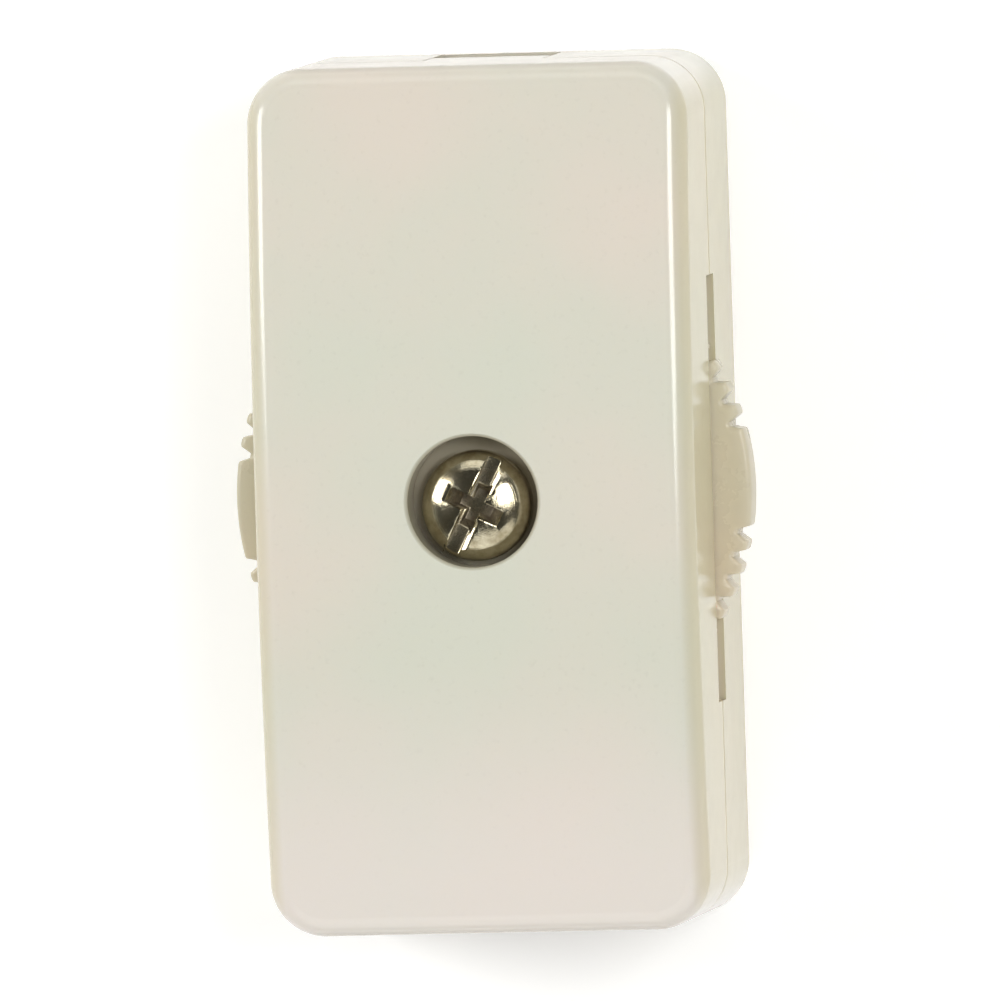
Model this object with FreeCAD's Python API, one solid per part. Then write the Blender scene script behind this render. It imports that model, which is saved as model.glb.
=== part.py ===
import FreeCAD, Part
import math
import os

# An inline switch for a flat two-wire lamp cord. Two moulded covers are held by one screw, and a
# notched wheel between them turns about that screw and shows through a slot in each long side.
# All sizes are in millimetres and all angles in degrees. X runs across the switch, Y along the
# cord, and Z from the flat back up to the front. The origin is on the wheel's axis, in the back.

Vector = FreeCAD.Vector
ORIGIN = Vector(0, 0, 0)
UP = Vector(0, 0, 1)

# Housing
case_length = 50.8
case_width = 26.0
back_depth = 9.5
front_depth = 9.5
front_crown = 1.9
corner_radius = 3.2
front_edge_radius = 1.3
back_edge_chamfer = 0.8
seam_chamfer = 0.15
wall = 1.8
plate = 2.0
inner_chamfer = 0.5

# Thumb wheel
wheel_diameter = 30.5
rim_thickness = 2.3
rim_width = 2.8
web_thickness = 1.5
hub_radius = 5.6
hub_drop = 0.3
cam_width = 9.4
cam_height = 3.9
cam_corner_radius = 2.2
quarter = 90.0
thumb_pad_angle = 19.5
notches_per_quarter = 13
notch_width = 0.55
notch_depth = 0.65
rim_pattern_turn = 2.4

# Slots that the wheel shows through
slot_length = 25.0
slot_side_gap = 0.25

# Centre boss, post and bearing
boss_radius = 3.2
bearing_gap = 0.06
post_radius = 5.4
wheel_end_play = 0.1
boss_web = 1.2

# Screw and nut, a 6-32 machine screw 5/8 inch long with a small-pattern nut
screw_diameter = 3.5
screw_length = 15.9
head_diameter = 6.5
head_height = 2.25
head_edge_height = 1.35
head_top_radius = 2.3
head_recess_gap = 0.6
head_recess_depth = 2.6
recess_edge_radius = 0.2
screw_hole_gap = 0.35
screw_drop = 0.3
screw_tip_chamfer = 0.4
slot_width = 1.1
slot_depth = 0.9
cross_width = 0.95
cross_span = 3.6
cross_depth = 1.7
drive_turn = 63.0
nut_flats = 6.35
nut_thickness = 2.4
nut_pocket_gap = 0.35
nut_recess = 0.7
thread_gap = 0.02

# Spring washer under the wheel
washer_thickness = 0.25
washer_height = 0.8
washer_outer_radius = 4.9
washer_bore_gap = 0.3

# Bridging contact, a clip over the square cam
clip_thickness = 0.4
clip_leg_width = 5.0
clip_leg_length = 2.9
clip_bend_radius = 0.45
clip_hole_gap = 0.35
clip_side_gap = 0.05

# Contact springs, leaves that press on the cam
leaf_thickness = 0.35
leaf_height = 2.5
leaf_reach = 4.2
leaf_tip_radius = 0.8
leaf_rise_gap = 0.4
contact_gap = 0.03
spring_flange_length = 4.2
spring_inset = 0.3

# Terminals, stepped strips on one side of the cord
strip_thickness = 0.6
strip_width = 4.4
strip_wall_gap = 1.0
strip_bend_radius = 0.3
strip_start = 5.6
riser_gap = 0.5
foot_bar_gap = 0.4
foot_corner_radius = 0.8
foot_overhang = 1.9
foot_rib_gap = 0.2
rivet_diameter = 1.6
rivet_head_diameter = 2.6
rivet_head_height = 0.5
rivet_inset = 1.9

# Piercing pins, one near each end of a terminal's foot
pin_width = 0.9
pin_head_width = 1.4
pin_head_height = 0.5
pin_end_gap = 0.1
pin_point_length = 1.6
pin_tip_width = 0.15
pin_tip_height = 0.8

# Cord way through the back cover: a flat cord 6.5 wide and 3.2 high
inlet_width = 7.2
inlet_height = 3.6
inlet_edge_radius = 0.4
conductor_pitch = 3.0
foot_clearance = 2.0
guide_thickness = 1.0
guide_length = 7.4
grip_rib_count = 2
grip_rib_height = 0.6
grip_rib_base = 1.0
grip_rib_spacing = 1.7
divider_thickness = 1.4
divider_height = 4.6

# Ribs and pegs that join the covers
tongue_gap = 0.1
clamp_bar_thickness = 1.2
clamp_bar_setback = 0.8
clamp_bite = 0.3
rib_thickness = 1.0
stiffener_height = 1.4
peg_radius = 0.9
peg_length = 2.0
peg_gap = 0.1
peg_post_radius = 2.0
peg_wall_overlap = 0.2

# Levels and places that follow from the sizes above
seam = back_depth
face = back_depth + front_depth
wheel_radius = wheel_diameter / 2
rim_low = seam - rim_thickness / 2
rim_high = seam + rim_thickness / 2
web_low = seam - web_thickness / 2
web_high = seam + web_thickness / 2
hub_low = rim_low - hub_drop
cam_top = web_high + cam_height
clip_top = cam_top + clip_thickness
post_top = hub_low - washer_height - wheel_end_play
head_seat = face - head_recess_depth
head_recess_radius = head_diameter / 2 + head_recess_gap
screw_hole_radius = screw_diameter / 2 + screw_hole_gap
nut_low = nut_recess
nut_high = nut_recess + nut_thickness
inner_x = case_width / 2 - wall
inner_y = case_length / 2 - wall
inlet_low = plate
inlet_high = inlet_low + inlet_height
leaf_low = rim_high + leaf_rise_gap
flange_top = leaf_low + leaf_height
strip_high = flange_top + strip_thickness
foot_low = inlet_high + foot_clearance
foot_high = foot_low + strip_thickness
strip_outer_x = inner_x - strip_wall_gap
strip_inner_x = strip_outer_x - strip_width
riser_y = math.sqrt(wheel_radius ** 2 - strip_inner_x ** 2) + riser_gap
foot_start = riser_y + strip_thickness + strip_bend_radius
clamp_bar_y = inner_y - clamp_bar_setback - clamp_bar_thickness
foot_end = clamp_bar_y - foot_bar_gap
pin_x = conductor_pitch / 2
foot_inner_x = pin_x - foot_overhang
pin_inset = pin_end_gap + pin_head_width / 2
rivet_x = (strip_inner_x + strip_outer_x) / 2
rivet_y = strip_start + rivet_inset
peg_x = inner_x + peg_wall_overlap - peg_post_radius
peg_y = inner_y + peg_wall_overlap - peg_post_radius


def in_plan(u, v):
    """A point of a profile drawn from above."""
    return Vector(u, v, 0)


def in_front(u, v):
    """A point of a profile drawn in the XZ plane."""
    return Vector(u, 0, v)


def in_side(u, v):
    """A point of a profile drawn in the YZ plane."""
    return Vector(0, u, v)


def outline(corners, plane):
    """A flat face through (u, v, radius) corners, each one rounded to its radius."""
    entries = []
    exits = []
    middles = []
    for index, (u, v, radius) in enumerate(corners):
        here = plane(u, v)
        before = plane(*corners[index - 1][:2])
        after = plane(*corners[(index + 1) % len(corners)][:2])
        back = (before - here).normalize()
        ahead = (after - here).normalize()
        half_angle = back.getAngle(ahead) / 2
        bisector = (back + ahead).normalize() if radius else back
        run = radius / math.tan(half_angle)
        entries.append(here + back * run)
        exits.append(here + ahead * run)
        middles.append(here + bisector * (radius / math.sin(half_angle) - radius))
    edges = []
    for index, corner in enumerate(corners):
        if corner[2]:
            edges.append(Part.Arc(entries[index], middles[index], exits[index]).toShape())
        following = entries[(index + 1) % len(corners)]
        if exits[index].distanceToPoint(following) > Part.Precision.confusion():
            edges.append(Part.makeLine(exits[index], following))
    return Part.Face(Part.Wire(edges))


def turned(corners):
    """A solid turned about the Z axis from a profile of (radius, height, rounding) corners."""
    return outline(corners, in_front).revolve(ORIGIN, UP, 360)


def block(x, y, z):
    """A box between the low and high value of each of its three spans."""
    size = [high - low for low, high in (x, y, z)]
    return Part.makeBox(*size, Vector(x[0], y[0], z[0]))


def rod(radius, z, x=0.0, y=0.0):
    """An upright cylinder between two heights."""
    return Part.makeCylinder(radius, z[1] - z[0], Vector(x, y, z[0]))


def slab(width, length, radius, z):
    """An upright prism on a centred rectangle with rounded corners."""
    x = width / 2
    y = length / 2
    corners = [(-x, -y, radius), (x, -y, radius), (x, y, radius), (-x, y, radius)]
    return outline(corners, in_plan).extrude(UP * (z[1] - z[0])).translated(UP * z[0])


def hexagon(flats, z):
    """A hexagonal prism between two heights."""
    radius = flats / 2 / math.cos(math.radians(30))
    corners = []
    for step in range(6):
        angle = math.radians(60 * step)
        corners.append((radius * math.cos(angle), radius * math.sin(angle), 0))
    return outline(corners, in_plan).extrude(UP * (z[1] - z[0])).translated(UP * z[0])


def arc_radius(half_span, rise):
    """The radius of an arc that rises by so much over half of its span."""
    return (half_span ** 2 + rise ** 2) / (2 * rise)


def under_front(level):
    """All the room behind a surface that lies at some depth under the arched front face."""
    radius = arc_radius(case_length / 2, front_crown)
    reach = case_length / 2 + wall
    end_height = face - radius + math.sqrt((radius - level) ** 2 - reach ** 2)
    corners = [in_side(reach, end_height), in_side(reach, 0), in_side(-reach, 0),
               in_side(-reach, end_height)]
    edges = [Part.makeLine(start, end) for start, end in zip(corners, corners[1:])]
    edges.append(Part.Arc(corners[-1], in_side(0, face - level), corners[0]).toShape())
    room = Part.Face(Part.Wire(edges)).extrude(Vector(2 * case_width, 0, 0))
    return room.translated(Vector(-case_width, 0, 0))


def plate_edges(shape, side):
    """The edges round the face that lies furthest to the back, side -1, or to the front, side 1."""
    return max(shape.Faces, key=lambda surface: side * surface.CenterOfMass.z).Edges


def level_edges(shape, height):
    """The edges of a shape that lie flat at one height."""
    near = Part.Precision.confusion()
    return [edge for edge in shape.Edges
            if abs(edge.BoundBox.ZMin - height) < near and abs(edge.BoundBox.ZMax - height) < near]


def other_end(shape):
    """The same feature at the other end of the cord's run."""
    return shape.mirror(ORIGIN, Vector(0, 1, 0))


def both_ends(features):
    """Each feature and its twin at the other end."""
    return features + [other_end(feature) for feature in features]


def single(shape):
    """The one solid that a cut or fused shape consists of."""
    tidy = shape.removeSplitter()
    if len(tidy.Solids) != 1:
        raise ValueError("a piece fell apart into %d solids" % len(tidy.Solids))
    return tidy.Solids[0]


def tray(outer, cavity):
    """One moulded half, hollowed out, with half of each wheel slot in its rim."""
    outer = outer.makeChamfer(seam_chamfer, level_edges(outer, seam))
    half_slot = rim_thickness / 2 + slot_side_gap
    slots = block((-case_width, case_width), (-slot_length / 2, slot_length / 2),
                  (seam - half_slot, seam + half_slot))
    return outer.cut([cavity, slots])


def cord_grips():
    """Pointed ribs across the floor that hold the cord at one end."""
    ribs = []
    for index in range(grip_rib_count):
        y = inner_y - grip_rib_base / 2 - index * grip_rib_spacing
        low = plate - inner_chamfer / 2
        corners = [(y - grip_rib_base / 2, low, 0), (y + grip_rib_base / 2, low, 0),
                   (y + grip_rib_base / 2, plate, 0), (y, plate + grip_rib_height, 0),
                   (y - grip_rib_base / 2, plate, 0)]
        rib = outline(corners, in_side).extrude(Vector(inlet_width, 0, 0))
        ribs.append(rib.translated(Vector(-inlet_width / 2, 0, 0)))
    return ribs


def inlet():
    """The notch for the cord in one end of the back cover, open towards the seam."""
    half = inlet_width / 2
    radius = inlet_edge_radius
    above = seam + wall
    corners = [(-half, inlet_low, radius), (half, inlet_low, radius),
               (half, above, 0), (-half, above, 0)]
    notch = outline(corners, in_front).extrude(Vector(0, 2 * wall, 0))
    return notch.translated(Vector(0, inner_y - inner_chamfer, 0))


def back_cover():
    """The half behind the wheel: cord channels, nut post, guides and peg sockets."""
    outer = slab(case_width, case_length, corner_radius, (0, seam))
    outer = outer.makeChamfer(back_edge_chamfer, plate_edges(outer, -1))
    cavity = slab(2 * inner_x, 2 * inner_y, corner_radius - wall, (plate, seam + wall))
    shell = tray(outer, cavity.makeChamfer(inner_chamfer, plate_edges(cavity, -1)))
    features = both_ends(cord_grips())
    half = inlet_width / 2
    for side in (-1, 1):
        near, far = sorted((side * half, side * (half + guide_thickness)))
        guide = block((near, far), (inner_y - guide_length, inner_y + wall / 2), (plate / 2, foot_low))
        features += both_ends([guide])
    foot_rest = block((strip_inner_x, inner_x + wall / 2), (foot_end - rib_thickness, foot_end),
                      (plate / 2, foot_low))
    peg_post = rod(peg_post_radius, (plate / 2, seam), -peg_x, peg_y)
    features += both_ends([foot_rest, peg_post])
    divider = block((post_radius / 2, inner_x + wall / 2),
                    (-divider_thickness / 2, divider_thickness / 2), (plate / 2, plate + divider_height))
    post = rod(post_radius, (plate / 2, post_top))
    shape = shell.fuse(features + [divider, post])
    socket = rod(peg_radius + peg_gap, (seam - peg_length - peg_gap, seam), -peg_x, peg_y)
    pocket = hexagon(nut_flats + 2 * nut_pocket_gap, (0, nut_high))
    screw_hole = rod(screw_hole_radius, (0, post_top))
    return single(shape.cut(both_ends([inlet(), socket]) + [pocket, screw_hole]))


def clamp_bar():
    """The bar under the front that presses the cord onto the grip ribs at one end."""
    near = clamp_bar_y
    far = clamp_bar_y + clamp_bar_thickness
    half = inlet_width / 2 - tongue_gap
    low = inlet_high - clamp_bite
    blunt = clamp_bar_thickness / 3
    corners = [(near, low, blunt), (far, low, blunt), (far, face, 0), (near, face, 0)]
    bar = outline(corners, in_side).extrude(Vector(2 * half, 0, 0))
    return bar.translated(Vector(-half, 0, 0))


def tongue():
    """The part of the front cover's end wall that closes the inlet notch from above."""
    half = inlet_width / 2 - tongue_gap
    blunt = wall / 3
    outer_y = inner_y + wall
    corners = [(inner_y, inlet_high, blunt), (outer_y, inlet_high, blunt),
               (outer_y, seam + seam_chamfer * 2, 0), (inner_y, seam + seam_chamfer * 2, 0)]
    piece = outline(corners, in_side).extrude(Vector(2 * half, 0, 0))
    return piece.translated(Vector(-half, 0, 0))


def front_cover():
    """The half in front of the wheel: screw recess, bearing boss, clamp bars and terminal ribs."""
    outer = slab(case_width, case_length, corner_radius, (seam, face + plate))
    outer = single(outer.common(under_front(0)))
    outer = outer.makeFillet(front_edge_radius, plate_edges(outer, 1))
    cavity = slab(2 * inner_x, 2 * inner_y, corner_radius - wall, (seam - wall, face))
    shell = tray(outer, cavity.common(under_front(plate)))
    foot_rib = block((pin_x + pin_head_width / 2 + foot_rib_gap, strip_outer_x),
                     (foot_end - rib_thickness, foot_end), (foot_high, face))
    strip_rib = block((rivet_x - rib_thickness / 2, rivet_x + rib_thickness / 2),
                      (rivet_y + rivet_head_diameter, riser_y), (strip_high, face))
    peg_post = rod(peg_post_radius, (seam, face), -peg_x, peg_y)
    peg = rod(peg_radius, (seam - peg_length, face), -peg_x, peg_y)
    end_stiffener = block((-rib_thickness / 2, rib_thickness / 2), (head_recess_radius, inner_y),
                          (seam, face))
    side_stiffener = block((-inner_x, inner_x), (-rib_thickness / 2, rib_thickness / 2), (seam, face))
    stiffeners = [rib.cut(under_front(plate + stiffener_height))
                  for rib in both_ends([end_stiffener]) + [side_stiffener]]
    tube = rod(head_recess_radius + boss_web, (clip_top + wheel_end_play, face))
    boss = rod(boss_radius, (post_top, face))
    features = both_ends([clamp_bar(), tongue(), foot_rib, strip_rib, peg_post, peg])
    features = [feature.common(under_front(plate / 2)) for feature in features + stiffeners + [tube, boss]]
    shape = shell.fuse(features)
    flare = recess_edge_radius
    recess = turned([(0, head_seat, 0), (head_recess_radius, head_seat, 0),
                     (head_recess_radius, face - flare, 0),
                     (head_recess_radius + flare, face, 0), (0, face, 0)])
    screw_hole = rod(screw_hole_radius, (post_top, face))
    return single(shape.cut([recess, screw_hole]))


def rim_notch(angle):
    """One square groove across the rim, at an angle about the axis."""
    groove = block((wheel_radius - notch_depth, wheel_radius + notch_depth),
                   (-notch_width / 2, notch_width / 2), (rim_low, rim_high))
    groove.rotate(ORIGIN, UP, angle)
    return groove


def rim_notches():
    """The grooves in the four quarters of the rim, between the plain thumb pads."""
    pitch = (quarter - thumb_pad_angle) / notches_per_quarter
    notches = []
    for pad in range(4):
        first = pad * quarter + thumb_pad_angle / 2 + pitch / 2 + rim_pattern_turn
        for index in range(notches_per_quarter):
            notches.append(rim_notch(first + index * pitch))
    return notches


def clip_seats():
    """The flats cut into two sides of the cam for the legs of the bridging contact."""
    half = cam_width / 2
    x = clip_leg_width / 2 + clip_side_gap
    low = cam_top - clip_leg_length - clip_side_gap
    return both_ends([block((-x, x), (half - clip_thickness, half + clip_thickness), (low, cam_top))])


def thumb_wheel():
    """The notched wheel with its square cam, which turns on the boss of the front cover."""
    bore = boss_radius + bearing_gap
    inner_rim = wheel_radius - rim_width
    disc = turned([(bore, hub_low, 0), (hub_radius, hub_low, 0), (hub_radius, web_low, 0),
                   (inner_rim, web_low, 0), (inner_rim, rim_low, 0), (wheel_radius, rim_low, 0),
                   (wheel_radius, rim_high, 0), (inner_rim, rim_high, 0), (inner_rim, web_high, 0),
                   (bore, web_high, 0)])
    cam = slab(cam_width, cam_width, cam_corner_radius, (web_high - web_thickness / 2, cam_top))
    cam = cam.cut([rod(bore, (hub_low, cam_top))] + clip_seats())
    return single(disc.cut(rim_notches()).fuse(cam))


def bridging_contact():
    """The clip over the cam that joins the two springs when its legs face them."""
    half = cam_width / 2
    inside = half - clip_thickness
    low = cam_top - clip_leg_length
    bend = clip_bend_radius
    corners = [(-half, low, 0), (-inside, low, 0), (-inside, cam_top, 0), (inside, cam_top, 0),
               (inside, low, 0), (half, low, 0), (half, clip_top, bend), (-half, clip_top, bend)]
    clip = outline(corners, in_side).extrude(Vector(clip_leg_width, 0, 0))
    clip = clip.translated(Vector(-clip_leg_width / 2, 0, 0))
    collar = rod(hub_radius - clip_side_gap, (cam_top, clip_top))
    collar = collar.common(block((-half, half), (-inside, inside), (cam_top, clip_top)))
    hole = rod(boss_radius + clip_hole_gap, (cam_top, clip_top))
    return single(clip.fuse(collar).cut(hole))


def contact_spring():
    """A leaf that lies along one side of the cam, on a flange under the line terminal."""
    inner = cam_width / 2 + contact_gap
    outer = inner + leaf_thickness
    x = (strip_inner_x + spring_inset, strip_outer_x - spring_inset)
    flange_low = flange_top - leaf_thickness
    corners = [(inner, leaf_low, 0), (outer, leaf_low, 0), (outer, flange_low, leaf_thickness / 2),
               (outer + spring_flange_length, flange_low, 0),
               (outer + spring_flange_length, flange_top, 0),
               (inner, flange_top, leaf_thickness)]
    root = outline(corners, in_side).extrude(Vector(x[1] - x[0], 0, 0)).translated(Vector(x[0], 0, 0))
    high = flange_top - 2 * leaf_thickness
    leaf = outline([(-leaf_reach, leaf_low, leaf_tip_radius), (x[1], leaf_low, 0), (x[1], high, 0),
                    (-leaf_reach, high, leaf_tip_radius)], in_front)
    leaf = leaf.extrude(Vector(0, leaf_thickness, 0)).translated(Vector(0, inner, 0))
    hole = rod(rivet_diameter / 2, (flange_low, flange_top), rivet_x, rivet_y)
    return single(root.fuse(leaf).cut(hole))


def pin_places():
    """The places of the two pins of one terminal."""
    return [(pin_x, foot_start + pin_inset), (pin_x, foot_end - pin_inset)]


def line_terminal():
    """The stepped strip at one end, from the contact spring down to the foot over the cord."""
    t = strip_thickness
    bend = strip_bend_radius
    corners = [(strip_start, flange_top, 0), (riser_y, flange_top, bend), (riser_y, foot_low, bend + t),
               (foot_end, foot_low, 0), (foot_end, foot_high, 0), (riser_y + t, foot_high, bend),
               (riser_y + t, strip_high, bend + t), (strip_start, strip_high, 0)]
    strip = outline(corners, in_side).extrude(Vector(strip_width, 0, 0))
    strip = strip.translated(Vector(strip_inner_x, 0, 0))
    radius = foot_corner_radius
    foot = outline([(foot_inner_x, foot_start, radius), (strip_outer_x, foot_start, 0),
                    (strip_outer_x, foot_end, 0), (foot_inner_x, foot_end, radius)], in_plan)
    foot = foot.extrude(UP * t).translated(UP * foot_low)
    half = pin_width / 2
    holes = [block((x - half, x + half), (y - half, y + half), (foot_low, foot_high))
             for x, y in pin_places()]
    holes.append(rod(rivet_diameter / 2, (flange_top, strip_high), rivet_x, rivet_y))
    return single(strip.fuse(foot).cut(holes))


def contact_rivet():
    """The rivet that holds the spring and its terminal together."""
    shank = rivet_diameter / 2
    head = rivet_head_diameter / 2
    flange_low = flange_top - leaf_thickness
    low = flange_low - rivet_head_height
    high = strip_high + rivet_head_height
    profile = [(0, low, 0), (head, low, 0), (head, flange_low, 0), (shank, flange_low, 0),
               (shank, strip_high, 0), (head, strip_high, 0), (head, high, 0), (0, high, 0)]
    return turned(profile).translated(Vector(rivet_x, rivet_y, 0))


def piercing_pin(x, y):
    """A square pin with a sharp point, headed over the foot, that goes through the insulation."""
    point = pin_tip_width / 2
    shank = pin_width / 2
    head = pin_head_width / 2
    tip = plate + pin_tip_height
    shoulder = tip + pin_point_length
    high = foot_high + pin_head_height
    right = [(point, tip, 0), (shank, shoulder, 0), (shank, foot_high, 0), (head, foot_high, 0),
             (head, high, 0)]
    left = [(-u, v, rounding) for u, v, rounding in reversed(right)]
    blade = outline(right + left, in_front)
    blade = blade.extrude(Vector(0, 2 * head, 0)).translated(Vector(0, -head, 0))
    pin = blade.common(blade.rotated(ORIGIN, UP, quarter))
    return single(pin).translated(Vector(x, y, 0))


def spring_washer():
    """A curved ring, low at two sides and high along its middle, that lifts the wheel."""
    inner = boss_radius + washer_bore_gap
    sag = washer_height - washer_thickness
    bow = arc_radius(washer_outer_radius, sag)
    centre = post_top + sag - bow
    length = Vector(0, 2 * washer_outer_radius, 0)
    start = Vector(0, -washer_outer_radius, centre)
    arch = Part.makeCylinder(bow + washer_thickness, length.y, start, length)
    arch = arch.cut(Part.makeCylinder(bow, length.y, start, length))
    span = (post_top, post_top + washer_height)
    return single(arch.common(rod(washer_outer_radius, span).cut(rod(inner, span))))


def drive_recess():
    """The slot and the tapered cross in the screw head."""
    top = head_seat + head_height
    slot = block((-head_diameter, head_diameter), (-slot_width / 2, slot_width / 2),
                 (top - slot_depth, top + slot_depth))
    arms = [slot]
    for angle in (0, quarter):
        half = cross_span / 2
        point = cross_width / 2
        arm = outline([(-half, top, 0), (-point, top - cross_depth, 0), (point, top - cross_depth, 0),
                       (half, top, 0)], in_front)
        arm = arm.extrude(Vector(0, cross_width, 0)).translated(Vector(0, -cross_width / 2, 0))
        arm.rotate(ORIGIN, UP, angle)
        arms.append(arm)
    recess = arms[0].fuse(arms[1:])
    recess.rotate(ORIGIN, UP, drive_turn)
    return recess


def centre_screw():
    """The pan-head screw that holds the covers together."""
    shank = screw_diameter / 2
    head = head_diameter / 2
    tip = head_seat - screw_length
    screw = turned([(0, tip, 0), (shank - screw_tip_chamfer, tip, 0), (shank, tip + screw_tip_chamfer, 0),
                    (shank, head_seat, 0), (head, head_seat, 0),
                    (head, head_seat + head_edge_height, 0),
                    (head_top_radius, head_seat + head_height, 0), (0, head_seat + head_height, 0)])
    return single(screw.cut(drive_recess())).translated(Vector(0, -screw_drop, 0))


def clamp_nut():
    """The hexagonal nut in the pocket at the back."""
    nut = hexagon(nut_flats, (nut_low, nut_high))
    bore = rod(screw_diameter / 2 + thread_gap, (nut_low, nut_high))
    return single(nut.cut(bore)).translated(Vector(0, -screw_drop, 0))


def build():
    """Every piece of the switch, by name."""
    terminal = line_terminal()
    spring = contact_spring()
    rivet = contact_rivet()
    pins = [piercing_pin(x, y) for x, y in pin_places()]
    return {
        "front_cover": front_cover(),
        "back_cover": back_cover(),
        "thumb_wheel": thumb_wheel(),
        "bridging_contact": bridging_contact(),
        "line_terminal": terminal,
        "load_terminal": other_end(terminal),
        "line_contact_spring": spring,
        "load_contact_spring": other_end(spring),
        "contact_rivets": Part.makeCompound(both_ends([rivet])),
        "piercing_pins": Part.makeCompound(both_ends(pins)),
        "wheel_spring_washer": spring_washer(),
        "centre_screw": centre_screw(),
        "clamp_nut": clamp_nut(),
    }


os.makedirs("parts", exist_ok=True)
for name, shape in build().items():
    shape.exportStep("parts/" + name + ".step")
    print("%-20s %d solid(s), %9.2f mm3" % (name, len(shape.Solids), shape.Volume))
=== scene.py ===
# %% [markdown]
# # An inline cord switch
# A small rotary switch for a flat lamp cord. Two moulded covers are held by one screw, and a notched
# thumb wheel shows through a slot in each long side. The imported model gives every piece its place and
# size. This lesson adds what the eye sees: the real finish of each piece, the rounded and threaded
# forms, the floor, the light and the camera.

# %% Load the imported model
import math

import bmesh
import bpy
from mathutils import Matrix, Vector


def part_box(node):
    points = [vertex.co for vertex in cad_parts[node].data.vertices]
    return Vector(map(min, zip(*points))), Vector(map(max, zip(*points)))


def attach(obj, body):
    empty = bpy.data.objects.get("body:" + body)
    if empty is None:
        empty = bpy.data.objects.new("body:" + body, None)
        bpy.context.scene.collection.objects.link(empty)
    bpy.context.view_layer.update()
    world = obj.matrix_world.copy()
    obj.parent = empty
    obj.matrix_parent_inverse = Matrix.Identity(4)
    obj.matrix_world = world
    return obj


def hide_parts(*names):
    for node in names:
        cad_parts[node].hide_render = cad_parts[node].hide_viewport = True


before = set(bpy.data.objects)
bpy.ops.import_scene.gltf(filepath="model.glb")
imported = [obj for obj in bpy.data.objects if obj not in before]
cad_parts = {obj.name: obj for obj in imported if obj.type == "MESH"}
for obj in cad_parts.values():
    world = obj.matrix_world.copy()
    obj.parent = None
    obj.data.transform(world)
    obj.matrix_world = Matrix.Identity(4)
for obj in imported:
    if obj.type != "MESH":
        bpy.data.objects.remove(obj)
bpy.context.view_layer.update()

# %% [markdown]
# ## The camera
# The picture is taken almost straight on, a little from the right and a little from above, and the
# camera is held slightly askew. From far away with a long lens, near and far edges of the switch keep
# the same scale, and that is how the picture looks. The camera's three axes are worked out from its
# turn, rise and roll, and the lens from its distance and from how large a millimetre is in the picture.

# %% Where the camera looks from
MM = 0.001
camera_turn = math.radians(8.75)
camera_rise = math.radians(3.06)
camera_roll = math.radians(1.78)
camera_distance = 2.63
pixels_per_mm = 17.08
picture_width, picture_height = 1000, 1001
aim_pixel = (496.5, 492.7)
case_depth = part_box("front_cover")[1].z

forward = Vector((-math.sin(camera_turn) * math.cos(camera_rise), -math.sin(camera_rise),
                  -math.cos(camera_turn) * math.cos(camera_rise)))
level = Vector((math.cos(camera_turn), 0, -math.sin(camera_turn)))
upright = level.cross(forward)
right = math.cos(camera_roll) * level - math.sin(camera_roll) * upright
up = math.sin(camera_roll) * level + math.cos(camera_roll) * upright
off_right = (aim_pixel[0] - picture_width / 2) / pixels_per_mm * MM
off_up = (picture_height / 2 - aim_pixel[1]) / pixels_per_mm * MM
place = Vector((0, 0, case_depth / 2)) - off_right * right - off_up * up - camera_distance * forward
print("the camera stands at", [round(along, 3) for along in place], "m")

# %% Camera
bpy.ops.object.camera_add()
camera = bpy.context.object
camera.name = "camera"
camera.matrix_world = Matrix.Translation(place) @ Matrix((right, up, -forward)).transposed().to_4x4()
camera.data.sensor_width = 36
camera.data.lens = pixels_per_mm / MM * camera_distance * camera.data.sensor_width / picture_height
camera.data.clip_end = 20
bpy.context.scene.camera = camera
bpy.context.scene.view_settings.view_transform = "Standard"
print("lens of", round(camera.data.lens), "mm at", camera_distance, "m")

# %% [markdown]
# ## Colours and nodes
# A colour is written down as it looks on a screen, and a shader wants it in linear light, so one
# function turns the one into the other. Another adds a node to a material with its settings and
# links, which keeps each material below short enough to read as a recipe.

# %% Helpers for materials


def linear(hex_colour):
    """The linear colour of a screen colour written as six hex digits."""
    channels = [int(hex_colour[i:i + 2], 16) / 255 for i in (1, 3, 5)]
    return [c / 12.92 if c <= 0.04045 else ((c + 0.055) / 1.055) ** 2.4 for c in channels] + [1.0]


def add(material, kind, inputs=None, **settings):
    """Adds a node. Inputs are set to a value, or linked where the value is another node's output."""
    node = material.node_tree.nodes.new("ShaderNode" + kind)
    for name, value in settings.items():
        setattr(node, name, value)
    for socket, value in (inputs or {}).items():
        if isinstance(value, bpy.types.NodeSocket):
            material.node_tree.links.new(value, node.inputs[socket])
        else:
            node.inputs[socket].default_value = value
    return node


def new_material(name):
    """A material with no nodes but the one that gives the object's own coordinates."""
    material = bpy.data.materials.new(name)
    material.use_nodes = True
    material.node_tree.nodes.clear()
    return material, add(material, "TexCoord").outputs["Object"]


def per(millimetres):
    """The scale of a texture whose pattern repeats about every so many millimetres."""
    return 1 / (millimetres * MM)


def finish_material(material, inputs):
    """Ends a recipe: the surface shader with these inputs goes to the output."""
    shader = add(material, "BsdfPrincipled", inputs)
    add(material, "OutputMaterial", {"Surface": shader.outputs["BSDF"]})
    print("material", material.name, "has", len(material.node_tree.nodes), "nodes")
    return material


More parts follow.
